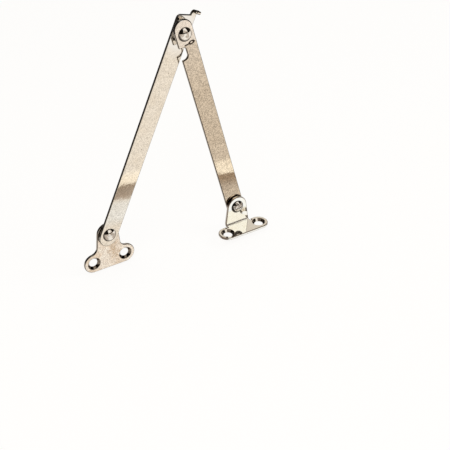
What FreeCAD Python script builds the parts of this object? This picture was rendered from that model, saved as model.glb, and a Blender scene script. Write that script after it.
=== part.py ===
import FreeCAD, Part
import math
import os
import re
import Sketcher
from FreeCAD import Placement, Rotation, Vector

# Folding lid stay, nickel-plated steel strip, shown half folded.
# An angle bracket screws to one panel and a flat plate to the other.
# Two strip arms of equal length join them: the front arm swings on the bracket,
# the back arm swings on the plate, and both meet in the centre joint at the top.
# A finger bent up from the head of the back arm drops into a notch in the edge
# of the front arm when the arms are in line, and stops them there.
# Millimetres, +Z up, +Y away from the viewer. The origin is the middle of the
# bracket's two screw holes, on the underside of its foot.

doc = FreeCAD.newDocument("LidStay")
sheet = doc.addObject("Spreadsheet::Sheet", "Sizes")

# Driving sizes

SIZES = [
    ("arm_width", 10.4, "width of both arms"),
    ("arm_gauge", 1.5, "sheet thickness of both arms"),
    ("pivot_span", 114.0, "from rivet to rivet along each arm"),
    ("foot_reach", 6.8, "each arm past its end rivet"),
    ("nose_reach", 8.0, "front arm past the centre rivet"),
    ("head_reach", 9.8, "back arm past the centre rivet, without its finger"),
    ("head_fall", 1.8, "head's end lower at its outer corner than at the finger"),
    ("head_corner", 2.2, "corner radius of the back arm's head"),
    ("notch_start", 6.2, "from the centre rivet to the near wall of the notch"),
    ("notch_length", 7.0, "length of the notch along the front arm"),
    ("notch_depth", 3.7, "depth of the notch from the arm's edge"),
    ("notch_round", 2.0, "corner radius in the bottom of the notch"),
    ("stop_clearance", 0.6, "finger to notch bottom, arms in line"),
    ("finger_play", 0.8, "finger to the far wall of the notch"),
    ("finger_overtop", 0.2, "finger tip above the front arm's face"),
    ("finger_round", 1.0, "corner radius of the finger tip"),
    ("bend_radius", 1.0, "inside radius of every bend"),
    ("arm_gap", 2.0, "spacer washer between the two arms"),
    ("thin_washer", 0.5, "washer beside each end rivet"),
    ("washer_width", 8.0, "outside diameter of the thin washers"),
    ("spacer_width", 9.0, "outside diameter of the spacer washer"),
    ("shank_width", 4.0, "rivet shank diameter"),
    ("head_width", 7.4, "rivet head diameter"),
    ("head_rise", 1.7, "rivet head height"),
    ("head_rim", 0.4, "upright rim under the domed head"),
    ("tail_width", 6.4, "diameter of the centre rivet's closed tail"),
    ("tail_rise", 0.9, "height of that tail"),
    ("flush_depth", 0.8, "countersink of the end rivets' flush tails"),
    ("set_clearance", 0.02, "rivet shank in the piece that it is set in"),
    ("running_clearance", 0.08, "rivet shank in the piece that turns on it"),
    ("plate_gauge", 1.5, "sheet thickness of flat plate and bracket"),
    ("screw_bore", 4.8, "screw hole diameter"),
    ("sink_width", 7.4, "countersink diameter of the screw holes"),
    ("plate_pitch", 18.6, "between the flat plate's screw holes"),
    ("plate_drop", 16.5, "flat plate's rivet to its screw holes"),
    ("plate_lobe", 5.6, "radius of the flat plate's screw lobes"),
    ("plate_crown", 6.2, "radius of the flat plate round its rivet"),
    ("plate_neck", 15.6, "width of the flat plate's neck where it meets the lobes"),
    ("plate_fillet", 3.6, "hollow between neck and lobes"),
    ("bracket_pitch", 20.6, "between the bracket's screw holes"),
    ("bracket_ear", 5.2, "radius of the bracket's ears"),
    ("bracket_rise", 10.3, "bracket's rivet above the top of its foot"),
    ("bracket_fold", 14.8, "width of the bracket at its fold"),
    ("bracket_crown", 6.1, "radius of the bracket round its rivet"),
    ("ear_step", 0.1, "ears' back edge forward of the fold"),
    ("relief_width", 0.8, "relief slot beside the fold"),
    ("relief_depth", 1.3, "relief slot into the foot"),
    ("front_lean", 74.9, "front arm's slope, degrees from level"),
    ("back_lean", 65.6, "back arm's slope, degrees from level"),
]

# Places that follow from the driving sizes

PLACES = [
    ("upright_face", "bracket_ear + ear_step + bend_radius"),
    ("upright_back", "upright_face + plate_gauge"),
    ("front_arm_back", "upright_back + thin_washer + arm_gauge"),
    ("back_arm_back", "front_arm_back + arm_gap + arm_gauge"),
    ("plate_back", "back_arm_back + thin_washer + plate_gauge"),
    ("bracket_axis_z", "plate_gauge + bracket_rise"),
    ("centre_axis_x", "-pivot_span * cos(front_lean * 1deg)"),
    ("centre_axis_z", "bracket_axis_z + pivot_span * sin(front_lean * 1deg)"),
    ("plate_axis_x", "centre_axis_x - pivot_span * cos(back_lean * 1deg)"),
    ("plate_axis_z", "centre_axis_z - pivot_span * sin(back_lean * 1deg)"),
    ("set_bore", "shank_width + 2 * set_clearance"),
    ("running_bore", "shank_width + 2 * running_clearance"),
    ("finger_width", "notch_depth - stop_clearance"),
    ("finger_face", "notch_start + notch_length - finger_play"),
    ("finger_rise", "arm_gap + arm_gauge + finger_overtop"),
]

for row, (alias, value, note) in enumerate(SIZES, start=1):
    sheet.set("A%d" % row, note)
    sheet.set("B%d" % row, str(value))
    sheet.setAlias("B%d" % row, alias)
for row, (alias, formula) in enumerate(PLACES, start=len(SIZES) + 1):
    sheet.set("B%d" % row, "=" + formula)
    sheet.setAlias("B%d" % row, alias)
doc.recompute()


def size(formula):
    """Value of a formula in the sheet's names, used as a sketch's first guess."""
    return float(sheet.evalExpression(formula))


NAMES = {alias for alias, *rest in SIZES + PLACES}


def bind(owner, path, formula):
    """Ties one property of an object to a formula in the sheet's names."""
    owner.setExpression(path, re.sub(
        "[a-z_]+", lambda word: "Sizes." + word[0] if word[0] in NAMES else word[0], formula))


def new_body(name, x="0", y="0", z="0", turn="0"):
    """A sub-part whose own XZ plane is its back face, turned about the line of sight."""
    body = doc.addObject("PartDesign::Body", name)
    body.Label = name
    body.Placement = Placement(Vector(0, 0, 0), Rotation(Vector(0, -1, 0), 1))
    for axis, formula in zip("xyz", (x, y, z)):
        bind(body, "Placement.Base." + axis, formula)
    bind(body, "Placement.Rotation.Angle", "(" + turn + ") * 1deg")
    return body


def new_sketch(body, name, role, lift="0"):
    """A sketch on one of the body's own origin planes, lifted along its normal."""
    sketch = body.newObject("Sketcher::SketchObject", name)
    plane = next(f for f in body.Origin.OriginFeatures if f.Role == role)
    sketch.AttachmentSupport = (plane, "")
    sketch.MapMode = "FlatFace"
    bind(sketch, "AttachmentOffset.Base.z", lift)
    return sketch


def hold(sketch, kind, *where, formula=None):
    """Adds a constraint, with its value tied to a formula where it has one."""
    if formula is None:
        return sketch.addConstraint(Sketcher.Constraint(kind, *where))
    index = sketch.addConstraint(Sketcher.Constraint(kind, *where, size(formula)))
    bind(sketch, "Constraints[%d]" % index, formula)
    return index


def pin(sketch, geometry, point, x, y):
    """Holds one point of a sketch at x, y, each a formula."""
    hold(sketch, "DistanceX", -1, 1, geometry, point, formula=x)
    hold(sketch, "DistanceY", -1, 1, geometry, point, formula=y)


def draw_disc(sketch, x, y, diameter):
    """A circle with its centre at x, y."""
    geometry = sketch.addGeometry(
        Part.Circle(Vector(size(x), size(y), 0), Vector(0, 0, 1), size(diameter) / 2))
    pin(sketch, geometry, 3, x, y)
    hold(sketch, "Diameter", geometry, formula=diameter)


def draw_polygon(sketch, corners):
    """A closed outline of straight edges through the corners, each a pair of formulas."""
    spots = [Vector(size(x), size(y), 0) for x, y in corners]
    first = None
    for index, spot in enumerate(spots):
        edge = sketch.addGeometry(Part.LineSegment(spot, spots[(index + 1) % len(spots)]))
        first = edge if first is None else first
        if edge > first:
            hold(sketch, "Coincident", edge - 1, 2, edge, 1)
        pin(sketch, edge, 1, *corners[index])
    hold(sketch, "Coincident", edge, 2, first, 1)


def draw_path(sketch, steps):
    """A closed outline of lines and arcs.

    Each step is (x, y) for a line to that point, or (x, y, cx, cy, turn) for an arc
    about cx, cy to that point, with turn 1 for anticlockwise and -1 for clockwise.
    """
    points = [Vector(size(step[0]), size(step[1]), 0) for step in steps]
    start_point = points[-1]
    previous = None
    first = None
    for step, end_point in zip(steps, points):
        if len(step) == 2:
            edge = sketch.addGeometry(Part.LineSegment(start_point, end_point))
            start, end = 1, 2
            pin(sketch, edge, end, *step)
        else:
            centre = Vector(size(step[2]), size(step[3]), 0)
            circle = Part.Circle(centre, Vector(0, 0, 1), (end_point - centre).Length)
            a, b = (start_point, end_point) if step[4] > 0 else (end_point, start_point)
            edge = sketch.addGeometry(
                Part.ArcOfCircle(circle, circle.parameter(a), circle.parameter(b)))
            start, end = (1, 2) if step[4] > 0 else (2, 1)
            pin(sketch, edge, 3, *step[2:4])
        if previous:
            hold(sketch, "Coincident", previous[0], previous[1], edge, start)
        else:
            first = (edge, start)
        previous = (edge, end)
        start_point = end_point
    hold(sketch, "Coincident", previous[0], previous[1], first[0], first[1])


def draw_crown(sketch, axle_height, radius, half_base, base_height):
    """A round crown over a level base, with straight sides that run off the crown."""
    axle = Vector(0, size(axle_height), 0)
    base_corner = Vector(size(half_base), size(base_height), 0)
    reach = base_corner - axle
    swing = math.degrees(math.acos(size(radius) / reach.Length))
    touch = axle + Rotation(Vector(0, 0, 1), swing).multVec(reach) * (size(radius) / reach.Length)
    circle = Part.Circle(axle, Vector(0, 0, 1), size(radius))
    mirror_touch = Vector(-touch.x, touch.y, 0)
    mirror_corner = Vector(-base_corner.x, base_corner.y, 0)
    arc = sketch.addGeometry(Part.ArcOfCircle(
        circle, circle.parameter(touch), circle.parameter(mirror_touch)))
    left = sketch.addGeometry(Part.LineSegment(mirror_touch, mirror_corner))
    base = sketch.addGeometry(Part.LineSegment(mirror_corner, base_corner))
    right = sketch.addGeometry(Part.LineSegment(base_corner, touch))
    pin(sketch, arc, 3, "0", axle_height)
    hold(sketch, "Radius", arc, formula=radius)
    pin(sketch, base, 1, "-" + half_base, base_height)
    pin(sketch, base, 2, half_base, base_height)
    hold(sketch, "Tangent", arc, 2, left, 1)
    hold(sketch, "Tangent", arc, 1, right, 2)
    hold(sketch, "Coincident", left, 2, base, 1)
    hold(sketch, "Coincident", base, 2, right, 1)


def pad(body, name, sketch, length, midplane=False):
    """Sheet of the given thickness on a sketch."""
    feature = body.newObject("PartDesign::Pad", name)
    feature.Profile = sketch
    feature.Midplane = midplane
    bind(feature, "Length", length)
    sketch.Visibility = False
    doc.recompute()
    return feature


def pierce(body, name, sketch):
    """Cuts a sketch right through the sheet, both ways."""
    before = body.Shape.Volume
    feature = body.newObject("PartDesign::Pocket", name)
    feature.Profile = sketch
    feature.Type = "ThroughAll"
    feature.Midplane = True
    doc.recompute()
    if not body.Shape.Volume < before:
        raise RuntimeError(name + " cuts nothing")
    return feature


def edges_where(body, test):
    """Names of the body's edges, in its own frame, that pass the test."""
    shape = body.Tip.Shape
    return ["Edge%d" % (i + 1) for i, edge in enumerate(shape.Edges) if test(edge)]


def along(edge, axis):
    """True for a straight edge parallel to the axis."""
    if edge.Curve.TypeId != "Part::GeomLine":
        return False
    return abs(edge.Curve.Direction.dot(axis)) > 0.999


def near(a, b):
    return abs(a - b) < 1e-4


def dress(body, kind, name, path, formula, edges):
    """Fillet or chamfer on the named edges, with its size tied to the sheet."""
    if not edges:
        raise RuntimeError(name + " has no edges")
    carrier = body.Tip
    feature = body.newObject("PartDesign::" + kind, name)
    feature.Base = (carrier, edges)
    bind(feature, path, formula)
    doc.recompute()
    return feature


DEPTH = Vector(0, 1, 0)


def round_corners(body, name, radius, spots):
    """Rounds the sheet's corners that stand at the given places in the XZ plane."""
    places = [(size(x), size(z)) for x, z in spots]

    def corner(edge):
        centre = edge.CenterOfMass
        return along(edge, DEPTH) and any(
            near(centre.x, x) and near(centre.z, z) for x, z in places)

    return dress(body, "Fillet", name, "Radius", radius, edges_where(body, corner))


def countersink(body, name, normal, level, bore, amount):
    """Chamfers the rims of the holes of one bore that lie on one face of the sheet."""
    radius, face = size(bore) / 2, size(level)

    def rim(edge):
        if edge.Curve.TypeId != "Part::GeomCircle" or not edge.Closed:
            return False
        return near(edge.Curve.Radius, radius) and near(edge.Curve.Center.dot(normal), face)

    return dress(body, "Chamfer", name, "Size", amount, edges_where(body, rim))


# Front arm
# Its own origin is the centre rivet, +X runs down the arm and +Z is the outer edge.

front_arm = new_body("front_arm", "centre_axis_x", "front_arm_back", "centre_axis_z", "-front_lean")
sketch = new_sketch(front_arm, "front_arm_outline", "XZ_Plane")
half = "arm_width / 2"
nose_centre = "arm_width / 2 - nose_reach"
foot_centre = "pivot_span + foot_reach - arm_width / 2"
draw_path(sketch, [
    (foot_centre, "-" + half),
    (foot_centre, half, foot_centre, "0", 1),
    (nose_centre, half),
    (nose_centre, "-" + half, nose_centre, "0", 1),
])
pad(front_arm, "front_arm_strip", sketch, "arm_gauge")

notch_floor = "notch_depth - arm_width / 2"
notch_end = "notch_start + notch_length"
sketch = new_sketch(front_arm, "notch_outline", "XZ_Plane")
draw_polygon(sketch, [
    ("notch_start", "-arm_width"),
    (notch_end, "-arm_width"),
    (notch_end, notch_floor),
    ("notch_start", notch_floor),
])
pierce(front_arm, "notch", sketch)
round_corners(front_arm, "notch_corners", "notch_round",
              [("notch_start", notch_floor), (notch_end, notch_floor)])

sketch = new_sketch(front_arm, "front_arm_rivet_holes", "XZ_Plane")
draw_disc(sketch, "0", "0", "set_bore")
draw_disc(sketch, "pivot_span", "0", "set_bore")
pierce(front_arm, "front_arm_bores", sketch)


def far_rim(edge):
    """Rim of the end rivet's hole on the arm's back face."""
    if edge.Curve.TypeId != "Part::GeomCircle" or not edge.Closed:
        return False
    centre = edge.Curve.Center
    return near(centre.y, 0) and near(centre.x, size("pivot_span"))


dress(front_arm, "Chamfer", "front_arm_flush_seat", "Size", "flush_depth",
      edges_where(front_arm, far_rim))

# Back arm
# Its own origin is the centre rivet, +X runs past the joint to the finger.

back_arm = new_body("back_arm", "centre_axis_x", "back_arm_back", "centre_axis_z", "back_lean")
sketch = new_sketch(back_arm, "back_arm_outline", "XZ_Plane")
draw_path(sketch, [
    ("-(" + foot_centre + ")", "-" + half, "-(" + foot_centre + ")", "0", 1),
    ("head_reach", "-" + half),
    ("head_reach - head_fall", half),
    ("-(" + foot_centre + ")", half),
])
pad(back_arm, "back_arm_strip", sketch, "arm_gauge")
round_corners(back_arm, "head_corner_round", "head_corner", [("head_reach - head_fall", half)])

bend_start = "finger_face - arm_gauge - bend_radius"
bend_height = "-(arm_gauge + bend_radius)"
sketch = new_sketch(back_arm, "finger_section", "XY_Plane", "-" + half)
draw_path(sketch, [
    (bend_start, "0"),
    ("finger_face", bend_height, bend_start, bend_height, -1),
    ("finger_face", "-(arm_gauge + finger_rise)"),
    ("finger_face - arm_gauge", "-(arm_gauge + finger_rise)"),
    ("finger_face - arm_gauge", bend_height),
    (bend_start, "-arm_gauge", bend_start, bend_height, 1),
    ("head_reach - head_corner", "-arm_gauge"),
    ("head_reach - head_corner", "0"),
])
pad(back_arm, "finger", sketch, "finger_width")


def finger_tip(edge):
    """The two corners of the finger's free end."""
    centre = edge.CenterOfMass
    return along(edge, Vector(1, 0, 0)) and near(centre.y, size("-(arm_gauge + finger_rise)"))


dress(back_arm, "Fillet", "finger_tip_round", "Radius", "finger_round",
      edges_where(back_arm, finger_tip))

sketch = new_sketch(back_arm, "back_arm_rivet_holes", "XZ_Plane")
draw_disc(sketch, "0", "0", "running_bore")
draw_disc(sketch, "-pivot_span", "0", "running_bore")
pierce(back_arm, "back_arm_bores", sketch)

# Flat plate
# Its own origin is its rivet.

flat_plate = new_body("flat_plate", "plate_axis_x", "plate_back", "plate_axis_z")
sketch = new_sketch(flat_plate, "plate_crown_outline", "XZ_Plane")
draw_crown(sketch, "0", "plate_crown", "plate_neck / 2", "-plate_drop")
pad(flat_plate, "plate_crown_sheet", sketch, "plate_gauge")
lobe_top = "plate_lobe - plate_drop"
lobe_foot = "-plate_lobe - plate_drop"
sketch = new_sketch(flat_plate, "plate_foot_outline", "XZ_Plane")
draw_path(sketch, [
    ("plate_pitch / 2", lobe_foot),
    ("plate_pitch / 2", lobe_top, "plate_pitch / 2", "-plate_drop", 1),
    ("-plate_pitch / 2", lobe_top),
    ("-plate_pitch / 2", lobe_foot, "-plate_pitch / 2", "-plate_drop", 1),
])
pad(flat_plate, "plate_foot_sheet", sketch, "plate_gauge")
side_turn = ("(acos(plate_crown / sqrt(plate_neck * plate_neck / 4 + plate_drop * plate_drop))"
             " - atan(2 * plate_drop / plate_neck))")
hollow_x = "(plate_crown - (" + lobe_top + ") * sin(" + side_turn + ")) / cos(" + side_turn + ")"
round_corners(flat_plate, "plate_hollows", "plate_fillet",
              [(hollow_x, lobe_top), ("-" + hollow_x, lobe_top)])
sketch = new_sketch(flat_plate, "plate_screw_holes", "XZ_Plane")
draw_disc(sketch, "plate_pitch / 2", "-plate_drop", "screw_bore")
draw_disc(sketch, "-plate_pitch / 2", "-plate_drop", "screw_bore")
pierce(flat_plate, "plate_screw_bores", sketch)
countersink(flat_plate, "plate_countersinks", DEPTH, "-plate_gauge", "screw_bore",
            "(sink_width - screw_bore) / 2")
sketch = new_sketch(flat_plate, "plate_rivet_hole", "XZ_Plane")
draw_disc(sketch, "0", "0", "set_bore")
pierce(flat_plate, "plate_rivet_bore", sketch)
countersink(flat_plate, "plate_flush_seat", DEPTH, "0", "set_bore", "flush_depth")

# Angle bracket
# Its own origin is the part's: between the screw holes, under the foot.

bracket = new_body("angle_bracket")
sketch = new_sketch(bracket, "foot_outline", "XY_Plane")
draw_path(sketch, [
    ("bracket_pitch / 2", "-bracket_ear"),
    ("bracket_pitch / 2", "bracket_ear", "bracket_pitch / 2", "0", 1),
    ("-bracket_pitch / 2", "bracket_ear"),
    ("-bracket_pitch / 2", "-bracket_ear", "-bracket_pitch / 2", "0", 1),
])
pad(bracket, "foot_sheet", sketch, "plate_gauge")

fold_y = "upright_face - bend_radius"
fold_z = "plate_gauge + bend_radius"
sketch = new_sketch(bracket, "fold_section", "YZ_Plane")
draw_path(sketch, [
    (fold_y, "0"),
    ("upright_back", fold_z, fold_y, fold_z, 1),
    ("upright_face", fold_z),
    (fold_y, "plate_gauge", fold_y, fold_z, -1),
    ("0", "plate_gauge"),
    ("0", "0"),
])
pad(bracket, "fold", sketch, "bracket_fold", midplane=True)

sketch = new_sketch(bracket, "upright_outline", "XZ_Plane", "-upright_back")
draw_crown(sketch, "bracket_axis_z", "bracket_crown", "bracket_fold / 2", fold_z)
pad(bracket, "upright_sheet", sketch, "plate_gauge")

sketch = new_sketch(bracket, "relief_outline", "XY_Plane")
slot_front = "bracket_ear - relief_depth"
slot_back = "upright_back"
for side in ("", "-"):
    near_x = side + "bracket_fold / 2"
    far_x = side + "(bracket_fold / 2 + relief_width)"
    draw_polygon(sketch, [
        (near_x, slot_front), (far_x, slot_front), (far_x, slot_back), (near_x, slot_back)])
pierce(bracket, "relief_slots", sketch)

sketch = new_sketch(bracket, "foot_screw_holes", "XY_Plane")
draw_disc(sketch, "bracket_pitch / 2", "0", "screw_bore")
draw_disc(sketch, "-bracket_pitch / 2", "0", "screw_bore")
pierce(bracket, "foot_screw_bores", sketch)
countersink(bracket, "foot_countersinks", Vector(0, 0, 1), "plate_gauge", "screw_bore",
            "(sink_width - screw_bore) / 2")
sketch = new_sketch(bracket, "upright_rivet_hole", "XZ_Plane")
draw_disc(sketch, "0", "bracket_axis_z", "running_bore")
pierce(bracket, "upright_rivet_bore", sketch)

# Rivets
# Each has a domed head towards the viewer; its own origin is under the head.


def new_rivet(name, x, y, z, grip, flush):
    """Solid rivet through a pile of thickness grip, with a flush or a closed tail."""
    rivet = new_body(name, x, y, z)
    outline = new_sketch(rivet, name + "_section", "XY_Plane")
    dome_centre = ("((head_rise - head_rim) * (head_rise - head_rim) + head_width * head_width / 4)"
                   " / (2 * (head_rise - head_rim)) - head_rise")
    steps = [
        ("head_width / 2", "-head_rim", "0", dome_centre, 1),
        ("head_width / 2", "0"),
        ("shank_width / 2", "0"),
    ]
    if flush:
        steps += [
            ("shank_width / 2", grip + " - flush_depth"),
            ("shank_width / 2 + flush_depth", grip),
            ("0", grip),
        ]
    else:
        tail_centre = (grip + " + tail_rise - (tail_rise * tail_rise + tail_width * tail_width / 4)"
                       " / (2 * tail_rise)")
        steps += [
            ("shank_width / 2", grip),
            ("tail_width / 2", grip),
            ("0", grip + " + tail_rise", "0", tail_centre, 1),
        ]
    steps += [("0", "-head_rise")]
    draw_path(outline, steps)
    turned = rivet.newObject("PartDesign::Revolution", name + "_turned")
    turned.Profile = outline
    turned.ReferenceAxis = (outline, ["V_Axis"])
    turned.Angle = 360
    doc.recompute()
    return rivet


new_rivet("bracket_rivet", "0", "upright_face", "bracket_axis_z",
          "plate_gauge + thin_washer + arm_gauge", flush=True)
new_rivet("centre_rivet", "centre_axis_x", "front_arm_back - arm_gauge", "centre_axis_z",
          "arm_gauge + arm_gap + arm_gauge", flush=False)
new_rivet("plate_rivet", "plate_axis_x", "back_arm_back - arm_gauge", "plate_axis_z",
          "arm_gauge + thin_washer + plate_gauge", flush=True)

# Washers
# Flat rings between the swinging sheets.


def new_washer(name, x, y, z, width, bore, thickness):
    """Flat ring with its back face at y."""
    washer = new_body(name, x, y, z)
    outline = new_sketch(washer, name + "_outline", "XZ_Plane")
    draw_disc(outline, "0", "0", width)
    draw_disc(outline, "0", "0", bore)
    pad(washer, name + "_ring", outline, thickness)
    return washer


new_washer("bracket_washer", "0", "upright_back + thin_washer", "bracket_axis_z",
           "washer_width", "set_bore", "thin_washer")
new_washer("centre_spacer", "centre_axis_x", "front_arm_back + arm_gap", "centre_axis_z",
           "spacer_width", "set_bore", "arm_gap")
new_washer("plate_washer", "plate_axis_x", "back_arm_back + thin_washer", "plate_axis_z",
           "washer_width", "set_bore", "thin_washer")

# Checks and export

doc.recompute()
for item in doc.Objects:
    if "Invalid" in item.State or "Error" in item.State:
        raise RuntimeError(item.Label + " did not build: " + ", ".join(item.State))

os.makedirs("parts", exist_ok=True)
bodies = [item for item in doc.Objects if item.TypeId == "PartDesign::Body"]
for body in bodies:
    shape = body.Shape
    if shape.isNull() or not shape.isValid() or len(shape.Solids) != 1:
        raise RuntimeError(body.Label + " is not one valid solid")
for body in bodies:
    body.Shape.exportStep("parts/%s.step" % body.Label)
    print("%-16s %8.2f mm3" % (body.Label, body.Shape.Volume))
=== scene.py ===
"""Lid stay dressed in Blender: two flat nickel-plated arms, a screw plate and an angle bracket.

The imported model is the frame. Every size is in metres and every piece stays where the frame has it.
"""

import logging
import math
from dataclasses import dataclass, replace
from enum import Enum
from typing import Callable, Sequence

import bmesh
import bpy
from mathutils import Matrix, Vector


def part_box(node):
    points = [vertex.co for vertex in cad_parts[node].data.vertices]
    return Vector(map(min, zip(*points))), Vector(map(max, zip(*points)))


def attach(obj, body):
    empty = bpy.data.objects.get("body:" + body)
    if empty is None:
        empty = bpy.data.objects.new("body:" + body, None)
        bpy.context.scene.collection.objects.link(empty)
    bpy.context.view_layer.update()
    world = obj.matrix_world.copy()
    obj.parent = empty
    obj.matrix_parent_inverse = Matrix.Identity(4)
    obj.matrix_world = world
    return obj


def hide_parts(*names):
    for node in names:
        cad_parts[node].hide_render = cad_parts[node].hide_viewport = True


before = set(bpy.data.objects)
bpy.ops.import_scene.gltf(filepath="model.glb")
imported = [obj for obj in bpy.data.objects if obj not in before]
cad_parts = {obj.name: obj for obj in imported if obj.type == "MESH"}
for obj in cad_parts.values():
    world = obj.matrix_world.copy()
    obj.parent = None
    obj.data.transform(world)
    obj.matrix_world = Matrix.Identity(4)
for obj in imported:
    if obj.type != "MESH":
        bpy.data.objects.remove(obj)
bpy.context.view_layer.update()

log = logging.getLogger("lid_stay")
MM = 0.001
SLACK = 0.05 * MM  # how far a face's middle may lie off a named limit
WELD = 0.0005 * MM  # corners nearer than this are taken as one
Rgb = tuple[float, float, float]
Place = tuple[float, float, float]
Span = tuple[float, float]
Socket = bpy.types.NodeSocket
Layers = tuple[float, ...]  # a noise's finer layers, their strength and its bend
Clouds = tuple[float, ...]  # clouds to a metre, and then the layers


class Tail(Enum):
    """How a rivet is closed at its far end."""

    FLUSH = "flush"
    CLOSED = "closed"


class Flats(Enum):
    """Which ways the rolled faces of a piece look, as node outputs of a direction."""

    UPRIGHT = ("Y",)
    FOLDED = ("Y", "Z")
    ALL = ("X", "Y", "Z")


class Nodes:
    """A short way to write a node tree."""

    def __init__(self, tree: bpy.types.NodeTree) -> None:
        """Empties the tree and keeps it."""
        self.tree = tree
        tree.nodes.clear()

    def add(self, kind: str, **settings: object) -> bpy.types.Node:
        """Adds a node.

        Args:
            kind: The node's type name, without ShaderNode.
            **settings: Properties of the node, by name.

        Returns:
            The new node.
        """
        node = self.tree.nodes.new("ShaderNode" + kind)
        for name, value in settings.items():
            setattr(node, name, value)
        return node

    def feed(self, node: bpy.types.Node, **values: object) -> bpy.types.Node:
        """Sets or links sockets of a node.

        Args:
            node: The node to feed.
            **values: Socket names, with underscores for blanks, or _ and the socket's number. Each has
                a number, a colour, a place or an output socket.

        Returns:
            The same node.
        """
        for name, value in values.items():
            key = int(name[1:]) if name[1:].isdigit() else name.replace("_", " ")
            socket = node.inputs[key]
            if isinstance(value, Socket):
                self.tree.links.new(value, socket)
            elif isinstance(value, (tuple, list)) and len(value) == 3 and socket.type == "RGBA":
                socket.default_value = (*value, 1.0)
            else:
                socket.default_value = value
        return node

    def mapped(self, value: Socket, low: float, high: float, to_low: float = 0.0,
               to_high: float = 1.0) -> Socket:
        """Takes a value from one range to another and holds it at the ends.

        Args:
            value: The value.
            low: Start of its range.
            high: End of its range, which may be below the start.
            to_low: What the start becomes.
            to_high: What the end becomes.

        Returns:
            The new value.
        """
        node = self.add("MapRange", clamp=True)
        self.feed(node, Value=value, From_Min=low, From_Max=high, To_Min=to_low, To_Max=to_high)
        return node.outputs["Result"]

    def maths(self, operation: str, first: object, second: object = 0.0) -> Socket:
        """One step of arithmetic on two values."""
        return self.feed(self.add("Math", operation=operation), _0=first, _1=second).outputs[0]

    def times(self, first: object, second: object) -> Socket:
        """One value times another."""
        return self.maths("MULTIPLY", first, second)

    def vector(self, operation: str, first: object, second: object, shown: str = "Vector") -> Socket:
        """One step of arithmetic on two places."""
        node = self.add("VectorMath", operation=operation)
        return self.feed(node, _0=first, _1=second).outputs[shown]

    def blend(self, factor: object, first: object, second: object, mode: str = "MIX") -> Socket:
        """Two colours mixed by a factor."""
        node = self.add("Mix", data_type="RGBA", blend_type=mode, clamp_factor=True)
        return self.feed(node, _0=factor, _6=first, _7=second).outputs[2]

    def noise(self, place: Socket, scale: float, detail: float = 2.0, rough: float = 0.5,
              warp: float = 0.0) -> Socket:
        """A cloudy value from 0 to 1 at a place.

        Args:
            place: Where.
            scale: Clouds to a metre.
            detail: How many finer layers the clouds have.
            rough: How strong the finer layers are.
            warp: How far the clouds are bent.

        Returns:
            The value.
        """
        node = self.add("TexNoise")
        self.feed(node, Vector=place, Scale=scale, Detail=detail, Roughness=rough, Distortion=warp)
        return node.outputs["Fac"]

    def reach(self, place: Socket, start: Place, way: Place) -> Socket:
        """How far a place lies from a start along a way."""
        return self.vector("DOT_PRODUCT", self.vector("SUBTRACT", place, start), way, "Value")

    def away(self, place: Socket, start: Place) -> Socket:
        """How far a place lies from a start."""
        return self.vector("DISTANCE", place, start, "Value")

    def seen_or_mirrored(self) -> Socket:
        """Tells which rays see a surface as it looks.

        Returns:
            1 for the camera's own rays and for what metal or glass shows, else 0.
        """
        rays = self.add("LightPath").outputs
        first = self.maths("MAXIMUM", rays["Is Camera Ray"], rays["Is Glossy Ray"])
        return self.maths("MAXIMUM", first, rays["Is Transmission Ray"])

    def surface(self, shader: bpy.types.Node) -> None:
        """Takes a shader as the material's surface."""
        self.feed(self.add("OutputMaterial"), Surface=shader.outputs[0])


def new_material(name: str) -> tuple[bpy.types.Material, Nodes]:
    """A material and its empty node tree.

    Args:
        name: The material's name.

    Returns:
        The material and its nodes.
    """
    made = bpy.data.materials.new(name)
    made.use_nodes = True
    return made, Nodes(made.node_tree)


def linked(name: str, data: bpy.types.ID) -> bpy.types.Object:
    """Puts a mesh, a lamp or a camera in the scene.

    Args:
        name: The new object's name.
        data: What it shows.

    Returns:
        The new object.
    """
    made = bpy.data.objects.new(name, data)
    bpy.context.scene.collection.objects.link(made)
    return made


def towards(azimuth: float, elevation: float) -> Vector:
    """The way that azimuth and elevation give, in degrees from the front of the stay and from the level."""
    a, e = math.radians(azimuth), math.radians(elevation)
    return Vector((math.sin(a) * math.cos(e), -math.cos(a) * math.cos(e), math.sin(e)))


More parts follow.
